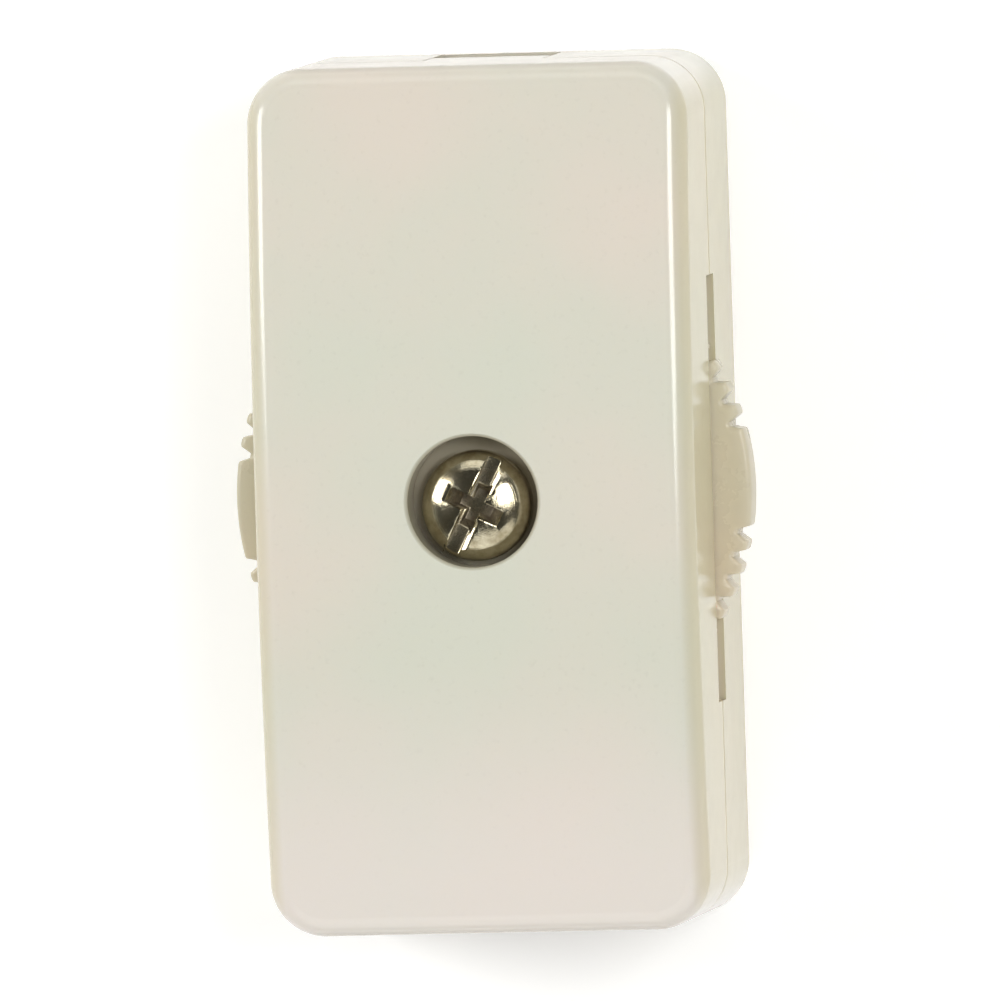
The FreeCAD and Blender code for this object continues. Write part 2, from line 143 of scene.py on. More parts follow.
# %% [markdown]
# ## Moulded ivory plastic
# Both covers are pressed from an ivory thermoset plastic in polished steel moulds. To the eye that is
# a hard gloss, colour that drifts a little from cream to a greener ivory where the powder flowed, a
# faint unevenness in the reflections, and a few brown specks of dust. The corners get painted shade.
# The drift is a broad noise between two close colours. The unevenness is a bump of a few hundredths
# of a millimetre, as wide as a finger, and one of a few thousandths, as fine as orange peel. The
# painted shade is the brown dust colour, laid in patches where a place is closed in. On the case,
# more painted light and tints depend on the place alone: the lower end is painted lighter and pinker,
# the long sides darker and yellower, partly painted shade and partly a yellow tint, the end walls a
# little darker as painted shade, and the recess of the screw, within 4 mm of the axis, dark brown as
# painted shade. The wheel is the same stuff in a warmer tone, so both use one recipe, but it turns
# and has none of that painted light on the case.

# %% Painted light, painted shade and tints of the case
# What each kind of painted light, painted shade or tint follows, where it begins and where it is full
# in millimetres, how it grows between the two, how much of it shows where it is full, and its tint.
case_tints_and_painted_light = [
    # Painted light: the lower end is made lighter and pinker.
    ("lengthwise", -8, -24, "SMOOTHSTEP", 0.6, "#ece3df"),
    # Painted shade and a yellow tint: the long sides are made darker and yellower.
    ("sideways", 12.0, 13.0, "LINEAR", 0.5, "#cdbf88"),
    # Painted shade: the end walls are made a little darker.
    ("endways", 25.1, 25.38, "LINEAR", 0.4, "#a89b8a"),
    # Painted shade: a dark brown ring at the mouth of the screw recess and inside it.
    ("from_axis", 4.03, 3.88, "LINEAR", 0.5, "#7b6839"),
]


def add_painted_light_and_tints(material, place, colour, painted_light_and_tints):
    """Lays each kind of painted light, painted shade and tint over a colour in turn, and returns the last
    colour.
    """
    parts = add(material, "SeparateXYZ", {"Vector": place})
    flat = add(material, "CombineXYZ", {"X": parts.outputs["X"], "Y": parts.outputs["Y"]})
    sideways = add(material, "Math", {0: parts.outputs["X"]}, operation="ABSOLUTE")
    endways = add(material, "Math", {0: parts.outputs["Y"]}, operation="ABSOLUTE")
    from_axis = add(material, "VectorMath", {0: flat.outputs["Vector"]}, operation="LENGTH")
    reaches = {"lengthwise": parts.outputs["Y"], "sideways": sideways.outputs["Value"],
               "endways": endways.outputs["Value"], "from_axis": from_axis.outputs["Value"]}
    for reach, begins, full, growth, most, tint in painted_light_and_tints:
        share = add(material, "MapRange", {"Value": reaches[reach], "From Min": begins * MM,
                                           "From Max": full * MM, "To Max": most},
                    interpolation_type=growth)
        tinted = add(material, "Mix", {"Factor": share.outputs["Result"], "A": colour, "B": linear(tint)},
                   data_type="RGBA")
        colour = tinted.outputs["Result"]
    return colour


# Each kind counted here is painted light, painted shade or a tint.
print("the case has", len(case_tints_and_painted_light), "kinds of wear")

# %% Recipe for moulded plastic


def moulded_plastic(name, cool, warm, dust_and_shade_colour, gloss, painted_light_and_tints=()):
    """A glossy moulded plastic between two close colours, with dust, painted shade in its corners and,
    where asked, painted light and tints.
    """
    material, place = new_material(name)
    drift = add(material, "TexNoise", {"Vector": place, "Scale": per(14), "Detail": 3.0,
                                       "Roughness": 0.45})
    drift_share = add(material, "MapRange", {"Value": drift.outputs["Fac"], "From Min": 0.32,
                                             "From Max": 0.68})
    body = add(material, "Mix", {"Factor": drift_share.outputs["Result"], "A": linear(cool),
                                 "B": linear(warm)}, data_type="RGBA")
    specks = add(material, "TexNoise", {"Vector": place, "Scale": per(0.35), "Detail": 2.0})
    speck_share = add(material, "MapRange", {"Value": specks.outputs["Fac"], "From Min": 0.6,
                                             "From Max": 0.8, "To Max": 0.05})
    speckled = add(material, "Mix", {"Factor": speck_share.outputs["Result"], "A": body.outputs["Result"],
                                     "B": linear(dust_and_shade_colour)}, data_type="RGBA")
    # Painted shade: the brown dust colour is laid in patches where a place is closed in.
    corners = add(material, "AmbientOcclusion", {"Distance": 0.9 * MM}, samples=8, only_local=True)
    patches = add(material, "TexNoise", {"Vector": place, "Scale": per(1.6), "Detail": 4.0})
    corner_shade = add(material, "MapRange", {"Value": corners.outputs["AO"], "From Min": 0.7,
                                           "From Max": 0.2, "To Max": 0.9})
    corner_shade_share = add(material, "Math", {0: corner_shade.outputs["Result"], 1: patches.outputs["Fac"]},
                     operation="MULTIPLY")
    tinted = speckled.outputs["Result"]
    # Where asked, painted light, painted shade and tints laid by place go over the colour.
    if painted_light_and_tints:
        tinted = add_painted_light_and_tints(material, place, tinted, painted_light_and_tints)
    colour = add(material, "Mix", {"Factor": corner_shade_share.outputs["Value"], "A": tinted, "B": linear(dust_and_shade_colour)},
                 data_type="RGBA")
    handling = add(material, "TexNoise", {"Vector": place, "Scale": per(5), "Detail": 6.0,
                                          "Roughness": 0.6})
    roughness = add(material, "MapRange", {"Value": handling.outputs["Fac"], "From Min": 0.3,
                                           "From Max": 0.75, "To Min": gloss[0], "To Max": gloss[1]})
    wave = add(material, "TexNoise", {"Vector": place, "Scale": per(8), "Detail": 1.0})
    wave_bump = add(material, "Bump", {"Height": wave.outputs["Fac"], "Strength": 1.0,
                                       "Distance": 0.03 * MM})
    peel = add(material, "TexNoise", {"Vector": place, "Scale": per(0.6), "Detail": 2.0})
    peel_bump = add(material, "Bump", {"Height": peel.outputs["Fac"],
                                       "Normal": wave_bump.outputs["Normal"],
                                       "Strength": 1.0, "Distance": 0.0025 * MM})
    return finish_material(material, {
        "Base Color": colour.outputs["Result"], "Roughness": roughness.outputs["Result"],
        "Normal": peel_bump.outputs["Normal"], "IOR": 1.54, "Subsurface Weight": 0.06,
        "Subsurface Radius": (1.0, 0.8, 0.5), "Subsurface Scale": 0.6 * MM})


# %% Ivory for the covers and a warmer ivory for the wheel
ivory_plastic = moulded_plastic("moulded_ivory_plastic", "#d7d8ca", "#e0d7cb", "#5d5038",
                                (0.13, 0.22), case_tints_and_painted_light)
wheel_plastic = moulded_plastic("moulded_wheel_plastic", "#d5ceb6", "#dccdb4", "#6b5738",
                                (0.24, 0.36))

# %% [markdown]
# ## Stamped and rolled metals
# The terminals, pins, rivets and the bridging contact are stamped from cold-rolled brass strip, and the
# contact springs from phosphor bronze. Rolling leaves fine lines along the strip, and air leaves a
# duller, browner film in patches. The lines are a noise that is stretched along the strip. Real ones
# are a few thousandths of a millimetre apart, and here they are drawn 0.1 mm apart so that they show.

# %% Recipe for rolled strip


def rolled_strip(name, metal, film, along, gloss):
    """A bare rolled metal with fine lines along one axis and a browner film in patches."""
    material, place = new_material(name)
    squeeze = [0.06 if axis == along else 1.0 for axis in "XYZ"]
    stretched = add(material, "Mapping", {"Vector": place, "Scale": squeeze})
    lines = add(material, "TexNoise", {"Vector": stretched.outputs["Vector"], "Scale": per(0.1),
                                       "Detail": 3.0})
    patches = add(material, "TexNoise", {"Vector": place, "Scale": per(2.5), "Detail": 5.0,
                                         "Roughness": 0.6})
    film_share = add(material, "MapRange", {"Value": patches.outputs["Fac"], "From Min": 0.42,
                                            "From Max": 0.7, "To Max": 0.7})
    filmed = add(material, "Mix", {"Factor": film_share.outputs["Result"], "A": linear(metal),
                                   "B": linear(film)}, data_type="RGBA")
    shade = add(material, "MapRange", {"Value": lines.outputs["Fac"], "To Min": 0.86, "To Max": 1.0})
    colour = add(material, "VectorMath", {0: filmed.outputs["Result"], "Scale": shade.outputs["Result"]},
                 operation="SCALE")
    mixed = add(material, "Math", {0: lines.outputs["Fac"], 1: film_share.outputs["Result"]},
                operation="ADD")
    roughness = add(material, "MapRange", {"Value": mixed.outputs["Value"], "From Min": 0.3,
                                           "From Max": 1.2, "To Min": gloss[0], "To Max": gloss[1]})
    bump = add(material, "Bump", {"Height": lines.outputs["Fac"], "Strength": 1.0,
                                  "Distance": 0.002 * MM})
    return finish_material(material, {
        "Base Color": colour.outputs["Vector"], "Metallic": 1.0,
        "Roughness": roughness.outputs["Result"], "Normal": bump.outputs["Normal"]})


# %% Brass, phosphor bronze and spring steel
brass = rolled_strip("rolled_brass", "#e3c16f", "#a47f43", "Y", (0.2, 0.42))
spring_bronze = rolled_strip("rolled_phosphor_bronze", "#d79a6b", "#94603c", "X", (0.22, 0.4))
spring_steel = rolled_strip("blued_spring_steel", "#8d9095", "#5d5a58", "X", (0.25, 0.45))

# %% [markdown]
# ## Dulled nickel plate
# The screw is turned and its nut pressed from steel, and both are nickel plated. After years of
# handling the nickel has gone from silver to a smoky olive brown. It still mirrors the lamps, and dirt
# and painted shade darken the slot and the thread. The turning tool leaves rings round the axis, so
# the rings are a noise of the distance from the axis alone. The dirt and painted shade follow how
# closed in a place is, and the raised edges are rubbed bright.

# %% Recipe for dulled nickel on steel
screw_low, screw_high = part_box("centre_screw")
screw_axis = (screw_low + screw_high) / 2


def dulled_nickel(name, plate, stain, dirt_and_shade, rubbed):
    """A plated metal with turning rings, stains, rubbed edges, and dirt and painted shade where it is
    closed in.
    """
    material, place = new_material(name)
    centred = add(material, "Mapping", {"Vector": place, "Location": (-screw_axis.x, -screw_axis.y, 0)})
    parts = add(material, "SeparateXYZ", {"Vector": centred.outputs["Vector"]})
    flat = add(material, "CombineXYZ", {"X": parts.outputs["X"], "Y": parts.outputs["Y"]})
    radius = add(material, "VectorMath", {0: flat.outputs["Vector"]}, operation="LENGTH")
    rings = add(material, "TexNoise", {"W": radius.outputs["Value"], "Scale": per(0.07), "Detail": 2.0},
                noise_dimensions="1D")
    patches = add(material, "TexNoise", {"Vector": place, "Scale": per(1.1), "Detail": 5.0,
                                         "Roughness": 0.65})
    stain_share = add(material, "MapRange", {"Value": patches.outputs["Fac"], "From Min": 0.35,
                                             "From Max": 0.65})
    stained = add(material, "Mix", {"Factor": stain_share.outputs["Result"], "A": linear(plate),
                                    "B": linear(stain)}, data_type="RGBA")
    shape = add(material, "NewGeometry")
    edges = add(material, "MapRange", {"Value": shape.outputs["Pointiness"], "From Min": 0.53,
                                       "From Max": 0.62, "To Max": 0.6})
    edged = add(material, "Mix", {"Factor": edges.outputs["Result"], "A": stained.outputs["Result"],
                                  "B": linear(rubbed)}, data_type="RGBA")
    # Dirt and painted shade: a dark colour is laid where the slot, the cross and the thread are closed
    # in.
    corners = add(material, "AmbientOcclusion", {"Distance": 1.0 * MM}, samples=8, only_local=True)
    dirt_and_shade_share = add(material, "MapRange", {"Value": corners.outputs["AO"], "From Min": 0.8,
                                            "From Max": 0.35, "To Max": 0.9})
    colour = add(material, "Mix", {"Factor": dirt_and_shade_share.outputs["Result"], "A": edged.outputs["Result"],
                                   "B": linear(dirt_and_shade)}, data_type="RGBA")
    dulling = add(material, "Math", {0: patches.outputs["Fac"], 1: dirt_and_shade_share.outputs["Result"]},
                  operation="ADD")
    roughness = add(material, "MapRange", {"Value": dulling.outputs["Value"], "From Min": 0.3,
                                           "From Max": 1.4, "To Min": 0.09, "To Max": 0.45})
    bump = add(material, "Bump", {"Height": rings.outputs["Fac"], "Strength": 1.0,
                                  "Distance": 0.003 * MM})
    pits = add(material, "Bump", {"Height": patches.outputs["Fac"], "Normal": bump.outputs["Normal"],
                                  "Strength": 1.0, "Distance": 0.02 * MM})
    bare = add(material, "MapRange", {"Value": dirt_and_shade_share.outputs["Result"], "From Max": 0.9,
                                      "To Min": 1.0, "To Max": 0.3})
    return finish_material(material, {
        "Base Color": colour.outputs["Result"], "Metallic": bare.outputs["Result"],
        "Roughness": roughness.outputs["Result"], "Normal": pits.outputs["Normal"]})


# %% Nickel for the screw and the nut
nickel = dulled_nickel("dulled_nickel_plate", "#cbc3a9", "#a1967a", "#4c3d31", "#cfc8b4")

# %% [markdown]
# ## Dressing the imported pieces
# The covers, terminals, springs, pins, washer and clip already have the right shape, with smooth
# rounded edges and bends, so they stay as they are. All but the clip get their finish here.

# %% Finishes for the imported pieces
finishes = {
    ivory_plastic: ["front_cover", "back_cover"],
    brass: ["bridging_contact", "line_terminal", "load_terminal", "piercing_pins"],
    spring_bronze: ["line_contact_spring", "load_contact_spring"],
    spring_steel: ["wheel_spring_washer"],
}
for material, names in finishes.items():
    for name in names:
        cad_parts[name].material_slots[0].material = material
    print(material.name, "on", ", ".join(names))

# %% [markdown]
# ## Tools for turned and cut pieces
# Wheels, screws and rivets are turned shapes. By hand, one draws half of the section as a line, point
# after point, and spins it round the axis. A first point comes from a plane whose corners are merged,
# and each further one is extruded from the last. Slots and seats are then cut with plain blocks, and
# edges are rounded with a bevel modifier, which is applied.

# %% Draw and spin a line
same_point, on_plane = 0.001 * MM, 0.0001 * MM
fine_steps, coarse_steps = 96, 48


def draw_line(name, points):
    """A piece that is only a line through the points, in millimetres, left in edit mode."""
    bpy.ops.object.select_all(action="DESELECT")
    bpy.ops.mesh.primitive_plane_add(size=MM)
    piece = bpy.context.object
    piece.name = name
    bpy.ops.object.mode_set(mode="EDIT")
    bpy.ops.mesh.select_mode(type="VERT")
    bpy.ops.mesh.select_all(action="SELECT")
    bpy.ops.mesh.merge(type="CENTER")
    bpy.ops.transform.translate(value=Vector(points[0]) * MM)
    here = Vector(points[0])
    for point in points[1:]:
        step = (Vector(point) - here) * MM
        bpy.ops.mesh.extrude_vertices_move(TRANSFORM_OT_translate={"value": step})
        here = Vector(point)
    return piece


def close_up():
    """Merges what meets, and turns every face outwards."""
    bpy.ops.mesh.select_all(action="SELECT")
    bpy.ops.mesh.remove_doubles(threshold=same_point)
    bpy.ops.mesh.normals_make_consistent(inside=False)
    bpy.ops.object.mode_set(mode="OBJECT")


def turned(name, profile, steps):
    """A solid turned about the Z axis from (radius, height) points in millimetres."""
    piece = draw_line(name, [(radius, 0, height) for radius, height in profile])
    bpy.ops.mesh.select_all(action="SELECT")
    bpy.ops.mesh.spin(steps=steps, angle=math.tau, center=(0, 0, 0), axis=(0, 0, 1))
    close_up()
    return piece


# %% Place a block and pick parts of it
overrun = 1


def block(name, x, y, z):
    """A block between two values of each coordinate, in millimetres, with its place in its mesh."""
    bpy.ops.object.select_all(action="DESELECT")
    middle = [(low + high) / 2 * MM for low, high in (x, y, z)]
    size = [(high - low) * MM for low, high in (x, y, z)]
    bpy.ops.mesh.primitive_cube_add(size=1, location=middle, scale=size)
    piece = bpy.context.object
    piece.name = name
    bpy.ops.object.transform_apply(location=True, rotation=True, scale=True)
    return piece


def pick(piece, kind, test):
    """In edit mode, selects the vertices, edges or faces for which the test holds."""
    bpy.ops.object.mode_set(mode="EDIT")
    bpy.ops.mesh.select_mode(type=kind)
    bpy.ops.mesh.select_all(action="DESELECT")
    shape = bmesh.from_edit_mesh(piece.data)
    shape.normal_update()
    things = {"VERT": shape.verts, "EDGE": shape.edges, "FACE": shape.faces}[kind]
    for thing in things:
        if test(thing):
            thing.select_set(True)
    shape.select_flush_mode()
    bmesh.update_edit_mesh(piece.data)


# %% Cut, join and complete pieces


def activate(piece):
    """Makes this piece the only selected one, and the one that operators work on."""
    bpy.ops.object.select_all(action="DESELECT")
    piece.select_set(True)
    bpy.context.view_layer.objects.active = piece


def apply_modifier(piece, kind, **settings):
    """Adds a modifier with its settings and applies it."""
    modifier = piece.modifiers.new(kind.lower(), kind)
    for name, value in settings.items():
        setattr(modifier, name, value)
    activate(piece)
    bpy.ops.object.modifier_apply(modifier=modifier.name)


def combine(piece, tool, how):
    """Adds the tool to the piece, cuts it out of it, or keeps what they share. The tool is used up."""
    apply_modifier(piece, "BOOLEAN", object=tool, operation=how, solver="EXACT")
    bpy.data.objects.remove(tool)


def move_mesh(piece, x=0.0, y=0.0, turn=0.0):
    """Turns the mesh of a piece about the Z axis and shifts it, in radians and millimetres."""
    piece.data.transform(Matrix.Translation(Vector((x, y, 0)) * MM) @ Matrix.Rotation(turn, 4, "Z"))


def complete(piece, body, slot, material, *nodes, sharp):
    """Shades a piece, gives it its finish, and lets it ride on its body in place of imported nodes."""
    activate(piece)
    bpy.ops.object.shade_smooth_by_angle(angle=math.radians(sharp))
    piece.data.materials.clear()
    piece.data.materials.append(material)
    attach(piece, body)
    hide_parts(*nodes)
    print(piece.name, "has", len(piece.data.polygons), "faces and stands for", ", ".join(nodes))


# %% [markdown]
# ## The thumb wheel
# The wheel is moulded in one piece: a notched rim for the thumb, a thin web, a hub, and a square cam on
# top that the contact springs press on. The rim is divided into 664 steps, so that 10 steps make a
# tooth with its notch and 36 steps make a plain pad. The half section is spun in those steps, and the
# points of the notches are then scaled towards the axis, a little at the teeth's corners and most at
# the floor, which gives the worn, rounded teeth of the real one. The cam is a block with bevelled
# edges, in which the bore and the two seats of the clip are cut. The rim is turned a little before the
# cam is added, because the cam stands square to the case at rest and the pattern of the rim doesn't.

# %% Sizes of the wheel, in millimetres
wheel_box_low, wheel_box_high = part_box("thumb_wheel")
wheel_radius = wheel_box_high.x / MM
wheel_low = wheel_box_low.z / MM
cam_top = wheel_box_high.z / MM
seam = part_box("back_cover")[1].z / MM
half_rim, half_web, rim_width = 1.15, 0.75, 2.8
rim_low, rim_high = seam - half_rim, seam + half_rim
web_low, web_high = seam - half_web, seam + half_web
inner_rim = wheel_radius - rim_width
hub_radius = 5.6
hub_edge, rim_edge = 0.15, 0.1
bore_radius = 3.26
half_cam = 4.7
cam_corner, cam_edge = 2.2, 0.12
seat_half_width, seat_cut, seat_drop = 2.55, 0.4, 2.95
pad_steps, tooth_steps, teeth_per_quarter = 36, 10, 13
steps_per_quarter = pad_steps + tooth_steps * teeth_per_quarter
rim_pattern_turn = math.radians(2.4)
notch_depths = {0.05: (2, 8), 0.38: (3, 7), 0.65: (4, 5, 6)}
print("the wheel reaches", round(wheel_radius, 2), "mm and has", 4 * steps_per_quarter, "steps")

# %% Spin the wheel
unpressed_radius = 14.3
round_over = [(0.25, 0.0), (0.13, 0.04), (0.04, 0.13), (0.0, 0.25)]
wheel_profile = [(bore_radius, wheel_low), (hub_radius - hub_edge, wheel_low),
                 (hub_radius, wheel_low + hub_edge), (hub_radius, web_low), (inner_rim, web_low),
                 (inner_rim, rim_low + rim_edge), (inner_rim + rim_edge, rim_low),
                 (unpressed_radius, rim_low)]
wheel_profile += [(wheel_radius - inwards, rim_low + above) for inwards, above in round_over]
wheel_profile += [(wheel_radius - inwards, rim_high - below) for inwards, below in reversed(round_over)]
wheel_profile += [(unpressed_radius, rim_high), (inner_rim + rim_edge, rim_high),
                  (inner_rim, rim_high - rim_edge), (inner_rim, web_high), (bore_radius, web_high),
                  (bore_radius, wheel_low)]
wheel = turned("notched_wheel", wheel_profile, 4 * steps_per_quarter)
print("spun faces:", len(wheel.data.polygons))

# %% Press the notches into the rim
rim_band = 0.3


def step_in_tooth(vertex):
    """Which of a tooth's ten steps a vertex of the rim lies on, or none on a plain pad or inside."""
    if math.hypot(vertex.co.x, vertex.co.y) < (wheel_radius - rim_band) * MM:
        return None
    step = round(math.atan2(vertex.co.y, vertex.co.x) / math.tau * 4 * steps_per_quarter)
    step = (step - pad_steps // 2) % steps_per_quarter
    return step % tooth_steps if step < tooth_steps * teeth_per_quarter else None


activate(wheel)
rim_steps = {}
for depth, steps in notch_depths.items():
    rim_steps[depth] = {v.index for v in wheel.data.vertices if step_in_tooth(v) in steps}
for depth, chosen in rim_steps.items():
    pick(wheel, "VERT", lambda vertex: vertex.index in chosen)
    share = 1 - depth / wheel_radius
    bpy.ops.transform.resize(value=(share, share, 1), center_override=(0, 0, 0))
    print("pressed", len(chosen), "points in by", depth, "mm")
bpy.ops.object.mode_set(mode="OBJECT")

# %% Add the cam and cut the bore and the clip's seats
cam = block("cam", (-half_cam, half_cam), (-half_cam, half_cam), (seam, cam_top))
pick(cam, "EDGE", lambda edge: abs(edge.verts[0].co.z - edge.verts[1].co.z) > MM)
bpy.ops.mesh.bevel(offset=cam_corner * MM, segments=8, affect="EDGES")
pick(cam, "FACE", lambda face: face.normal.z > 0.9)
bpy.ops.mesh.bevel(offset=cam_edge * MM, segments=2, affect="EDGES")
bpy.ops.object.mode_set(mode="OBJECT")
bore_low, bore_high = wheel_low - overrun, cam_top + overrun
bore = turned("bore", [(0, bore_low), (bore_radius, bore_low), (bore_radius, bore_high),
                       (0, bore_high)], fine_steps)
combine(cam, bore, "DIFFERENCE")
for side in (-1, 1):
    near, far = sorted((side * (half_cam - seat_cut), side * (half_cam + overrun)))
    seat = block("seat", (-seat_half_width, seat_half_width), (near, far),
                 (cam_top - seat_drop, cam_top + overrun))
    combine(cam, seat, "DIFFERENCE")
move_mesh(wheel, turn=rim_pattern_turn)
combine(wheel, cam, "UNION")
complete(wheel, "wheel", "wheel_plastic", wheel_plastic, "thumb_wheel", sharp=40)

# %% [markdown]
# ## The centre screw
# A pan-head machine screw, 6.5 mm across the head, with a driver slot over a cross. The head is turned
# from a section with a gently domed top, which mirrors the two small lamps as two bright spots. The
# slot is cut with a block, and the cross with two blocks whose lower end is scaled narrower, as the
# punch that forms it is. One side of the slot is a sloped ledge, worn by the driver, which mirrors the
# left lamp as two bright bars in line. The thread is a zigzag line wound up by the screw modifier, and
# both its ends are cut flat and closed.

# %% Turn the head
head_radius = (screw_high.x - screw_low.x) / 2 / MM
head_top = screw_high.z / MM
head_height = 2.25
head_seat = head_top - head_height
screw_tip = screw_low.z / MM
seat_edge = 0.12
dome_radius = 6.3
dome_rings = (0.0, 0.6, 1.1, 1.6, 2.1, 2.55)
dome = [(radius, head_top - radius ** 2 / (2 * dome_radius)) for radius in dome_rings]
side_curve = [(2.8, 0.70), (3.02, 0.86), (3.16, 1.08), (3.23, 1.32), (head_radius, 1.6)]
head_profile = dome + [(radius, head_top - drop) for radius, drop in side_curve]
head_profile += [(head_radius, head_seat + seat_edge), (head_radius - seat_edge, head_seat),
                 (0.0, head_seat)]
screw = turned("pan_head_screw", head_profile, fine_steps)
print("head", round(2 * head_radius, 2), "mm across, seat at", round(head_seat, 2), "mm")

# %% Cut the slot and the cross
drive_turn = math.radians(63)
slot_reach, slot_sides, slot_depth = 4, (-0.3, 0.55), 0.9
ledge_reach, ledge_sides, ledge_depth, ledge_rise = (0.75, 3.2), (-0.65, -0.25), 0.66, 0.14
cross_reach, cross_half_width, cross_depth, cross_taper = 1.95, 0.5, 1.6, (0.5, 0.7, 1)
worn_edge = 0.07


def is_outer_lower(edge):
    """Whether an edge of a ledge's block lies below, on the side away from the slot."""
    outer = (ledge_sides[0] + 0.05) * MM
    return all(vertex.co.z < head_top * MM and vertex.co.y < outer for vertex in edge.verts)


slot = block("slot", (-slot_reach, slot_reach), slot_sides,
             (head_top - slot_depth, head_top + overrun))
move_mesh(slot, turn=drive_turn)
combine(screw, slot, "DIFFERENCE")
for side in (1, -1):
    near, far = sorted(side * reach for reach in ledge_reach)
    ledge = block("ledge", (near, far), ledge_sides, (head_top - ledge_depth, head_top + overrun))
    pick(ledge, "EDGE", is_outer_lower)
    bpy.ops.transform.translate(value=(0, 0, ledge_rise * MM))
    bpy.ops.object.mode_set(mode="OBJECT")
    move_mesh(ledge, turn=drive_turn)
    combine(screw, ledge, "DIFFERENCE")
cross_low, cross_high = head_top - cross_depth, head_top + 0.2
for quarter_turn in (0, math.pi / 2):
    arm = block("arm", (-cross_reach, cross_reach), (-cross_half_width, cross_half_width),
                (cross_low, cross_high))
    pick(arm, "FACE", lambda face: face.normal.z < -0.9)
    bpy.ops.transform.resize(value=cross_taper, center_override=(0, 0, cross_low * MM))
    bpy.ops.object.mode_set(mode="OBJECT")
    move_mesh(arm, turn=drive_turn + quarter_turn)
    combine(screw, arm, "DIFFERENCE")
apply_modifier(screw, "BEVEL", width=worn_edge * MM, segments=2, limit_method="ANGLE",
               angle_limit=math.radians(50), use_clamp_overlap=False)
print("head has", len(screw.data.polygons), "faces after the cuts")

# %% Wind the thread
thread_pitch = 0.794
thread_crest = 1.73
thread_root = 1.3
thread_steps = 32
spare_turns = 1.5
zigzag = [(thread_root, 0.0), (thread_root, 0.1), (thread_crest, 0.44), (thread_crest, 0.55),
          (thread_root, 0.89), (thread_root, 1.0)]


def threaded_rod(name, low, high, grow=0.0):
    """A closed threaded rod between two heights, in millimetres, made a little larger where asked."""
    start = low - spare_turns * thread_pitch
    rod = draw_line(name, [(radius + grow, 0, start + share * thread_pitch) for radius, share in zigzag])
    bpy.ops.object.mode_set(mode="OBJECT")
    turns = math.ceil((high - low) / thread_pitch + 2 * spare_turns)
    apply_modifier(rod, "SCREW", screw_offset=thread_pitch * MM, iterations=turns, steps=thread_steps,
                   render_steps=thread_steps, use_merge_vertices=True, merge_threshold=same_point)
    bpy.ops.object.mode_set(mode="EDIT")
    for end, upper in ((low, False), (high, True)):
        bpy.ops.mesh.select_all(action="SELECT")
        bpy.ops.mesh.bisect(plane_co=(0, 0, end * MM), plane_no=(0, 0, 1), use_fill=True,
                            clear_inner=not upper, clear_outer=upper, threshold=on_plane)
    close_up()
    return rod


shank_overlap = 0.05
cone_radius, cone_end = 2.2, head_seat + overrun
shank = threaded_rod("shank", screw_tip, head_seat + shank_overlap)
tip_profile = [(0, screw_tip - 0.5), (1.2, screw_tip - 0.1), (cone_radius, screw_tip + 0.9),
               (cone_radius, cone_end), (0, cone_end)]
tip_cone = turned("tip_cone", tip_profile, coarse_steps)
combine(shank, tip_cone, "INTERSECT")
combine(screw, shank, "UNION")
move_mesh(screw, x=screw_axis.x / MM, y=screw_axis.y / MM)
complete(screw, "case", "nickel_plate", nickel, "centre_screw", sharp=24)

# %% [markdown]
# ## The clamp nut
# A pressed hexagon nut lies in a pocket of the back cover. Its corners are taken off by a cone on both
# faces, which leaves the curved lines that every nut has. A six-sided cylinder is the start, what it
# shares with a turned double cone is kept, and a threaded rod cuts the thread.

# %% Model the nut
nut_box_low, nut_box_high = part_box("clamp_nut")
nut_low, nut_high = nut_box_low.z / MM, nut_box_high.z / MM
half_flats = (nut_box_high.y - nut_box_low.y) / MM / 2
half_corners = half_flats / math.cos(math.pi / 6)
chamfer_margin, chamfer_slope = 0.1, math.radians(30)
thread_play = 0.03
bpy.ops.object.select_all(action="DESELECT")
bpy.ops.mesh.primitive_cylinder_add(vertices=6, radius=half_corners * MM,
                                    depth=(nut_high - nut_low) * MM, rotation=(0, 0, math.pi / 6),
                                    location=(0, 0, (nut_low + nut_high) / 2 * MM))
nut = bpy.context.object
nut.name = "threaded_nut"
bpy.ops.object.transform_apply(location=True, rotation=True, scale=True)
face_ring = half_flats - chamfer_margin
corner_reach = half_corners + chamfer_margin
cone_drop = (corner_reach - face_ring) * math.tan(chamfer_slope)
cone_profile = [(0, nut_low), (face_ring, nut_low), (corner_reach, nut_low + cone_drop),
                (corner_reach, nut_high - cone_drop), (face_ring, nut_high), (0, nut_high)]
double_cone = turned("double_cone", cone_profile, fine_steps)
combine(nut, double_cone, "INTERSECT")
tap = threaded_rod("tap", nut_low - overrun, nut_high + overrun, grow=thread_play)
combine(nut, tap, "DIFFERENCE")
move_mesh(nut, x=screw_axis.x / MM, y=screw_axis.y / MM)
complete(nut, "case", "nickel_plate", nickel, "clamp_nut", sharp=30)

# %% [markdown]
# ## The contact rivets
# Each rivet is headed over the spring and the terminal, and the punch leaves a low round head on both
# sides. One is turned about the axis and moved to its place, and a copy with its own mesh goes to the
# other end, so that both stay one piece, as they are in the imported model.

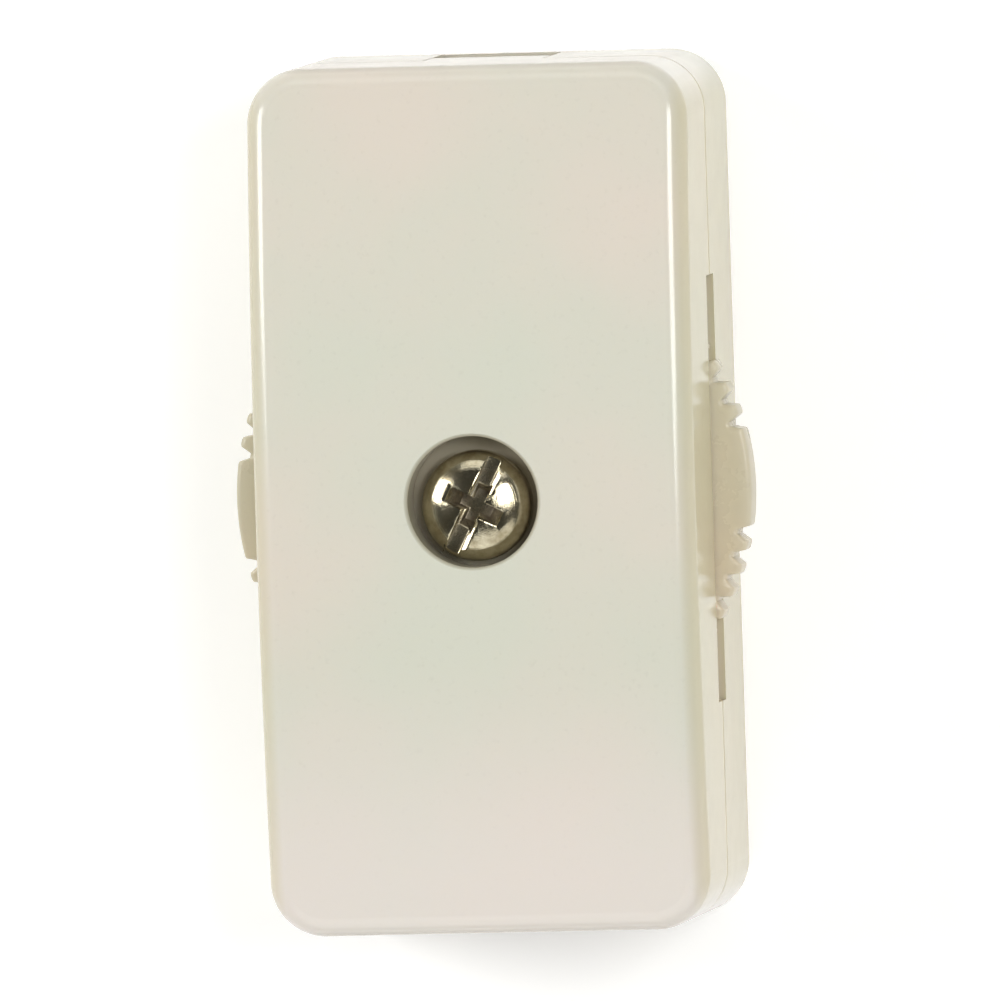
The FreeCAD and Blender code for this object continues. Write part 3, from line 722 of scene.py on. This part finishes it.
# %% Turn and copy the rivet
rivet_low, rivet_high = (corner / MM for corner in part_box("contact_rivets"))
rivet_x = (rivet_low.x + rivet_high.x) / 2
rivet_reach = (rivet_high.x - rivet_low.x) / 2
rivet_y = rivet_high.y - rivet_reach
rivet_shank, rivet_head = 0.8, 0.5
head_curve = [(0.0, 0.0), (0.45, 0.03), (0.85, 0.12), (1.15, 0.28), (rivet_reach, 0.46),
              (rivet_reach, rivet_head)]
rivet_profile = [(radius, rivet_low.z + above) for radius, above in head_curve]
rivet_profile += [(rivet_shank, rivet_low.z + rivet_head), (rivet_shank, rivet_high.z - rivet_head)]
rivet_profile += [(radius, rivet_high.z - below) for radius, below in reversed(head_curve)]
rivets = turned("domed_rivets", rivet_profile, coarse_steps)
other = rivets.copy()
other.data = rivets.data.copy()
bpy.context.collection.objects.link(other)
move_mesh(rivets, x=rivet_x, y=rivet_y)
move_mesh(other, x=rivet_x, y=-rivet_y)
activate(rivets)
other.select_set(True)
bpy.ops.object.join()
complete(rivets, "case", "brass", brass, "contact_rivets", sharp=30)

# %% [markdown]
# ## The floor
# The switch lies on its back on a plain white table. The floor is a matt white that keeps the soft
# shadow, and a little light is added where the camera or a mirror looks at it, so that it reads as
# white paper without any more light on the switch.

# %% Floor
floor_size = 8
floor_drop = 0.1
paper_glow = 0.33
bpy.ops.object.select_all(action="DESELECT")
bpy.ops.mesh.primitive_plane_add(size=floor_size, location=(0, 0, -floor_drop * MM))
floor = bpy.context.object
floor.name = "floor"
bpy.ops.object.transform_apply(location=True)
paper, paper_place = new_material("white_paper")
grain = add(paper, "TexNoise", {"Vector": paper_place, "Scale": per(0.8), "Detail": 4.0})
white = add(paper, "Mix", {"Factor": grain.outputs["Fac"], "A": linear("#eeeeee"),
                           "B": linear("#f4f4f4")}, data_type="RGBA")
matt = add(paper, "BsdfDiffuse", {"Color": white.outputs["Result"]})
path = add(paper, "LightPath")
seen = add(paper, "Math", {0: path.outputs["Is Camera Ray"], 1: path.outputs["Is Glossy Ray"]},
           operation="MAXIMUM")
seen_all = add(paper, "Math", {0: seen.outputs["Value"], 1: path.outputs["Is Transmission Ray"]},
               operation="MAXIMUM")
lift = add(paper, "Math", {0: seen_all.outputs["Value"], 1: paper_glow}, operation="MULTIPLY")
glow = add(paper, "Emission", {"Strength": lift.outputs["Value"]})
paper_sum = add(paper, "AddShader", {0: matt.outputs["BSDF"], 1: glow.outputs["Emission"]})
add(paper, "OutputMaterial", {"Surface": paper_sum.outputs["Shader"]})
floor.data.materials.append(paper)
print("floor of", floor.dimensions.x, "m")

# %% [markdown]
# ## The light
# The switch lies in a white tent that is open above, where the camera looks in. So the sides of the
# world are bright and its top is dim, and that is what keeps the screw dark and the plastic pale. Two
# small soft boxes hang left and right, a little above the middle of the picture, and draw the two
# bright lines along the long edges and the two bright spots on the screw. A large and weak one at the
# lower end gives the lower half of the screw its soft sheen, and a wide one at the upper end evens out
# the rounded top edge.

# %% World
tent_side, tent_top, tent_colour = 0.5, 0.06, "#fffff4"
opening_begins, opening_full = 0.25, 0.75
world = bpy.data.worlds.new("tent")
bpy.context.scene.world = world
world.use_nodes = True
world.node_tree.nodes.clear()
outlook = add(world, "TexCoord").outputs["Generated"]
rise = add(world, "SeparateXYZ", {"Vector": outlook}).outputs["Z"]
tent = add(world, "MapRange", {"Value": rise, "From Min": opening_begins, "From Max": opening_full,
                               "To Min": tent_side, "To Max": tent_top},
           interpolation_type="SMOOTHSTEP")
sky = add(world, "Background", {"Color": linear(tent_colour), "Strength": tent.outputs["Result"]})
add(world, "OutputWorld", {"Surface": sky.outputs["Background"]})
print("the tent has a brightness of", tent_side, "at its sides and", tent_top, "at its top")

# %% Soft boxes
lamp_distance = 0.6
lamp_colour = "#fffffe"


def soft_box(name, direction, width, height, radiance):
    """A rectangular lamp that faces the switch, as bright per area as asked."""
    away = Vector(direction).normalized()
    bpy.ops.object.light_add(type="AREA", location=away * lamp_distance)
    lamp = bpy.context.object
    lamp.name = name
    lamp.rotation_euler = away.to_track_quat("Z", "Y").to_euler()
    lamp.data.shape = "RECTANGLE"
    lamp.data.size = width
    lamp.data.size_y = height
    lamp.data.energy = radiance * math.pi * width * height
    lamp.data.color = linear(lamp_colour)[:3]
    lamp.visible_camera = False
    print(name, "gives", round(lamp.data.energy, 2), "W")


soft_box("left_soft_box", (-0.70, 0.22, 0.67), 0.22, 0.24, 9.2)
soft_box("right_soft_box", (0.45, 0.15, 0.88), 0.2, 0.22, 9.2)
soft_box("near_soft_box", (0.15, -0.75, 0.62), 0.8, 0.5, 1.1)
soft_box("far_soft_box", (0.1, 0.78, 0.62), 0.6, 0.3, 1.2)
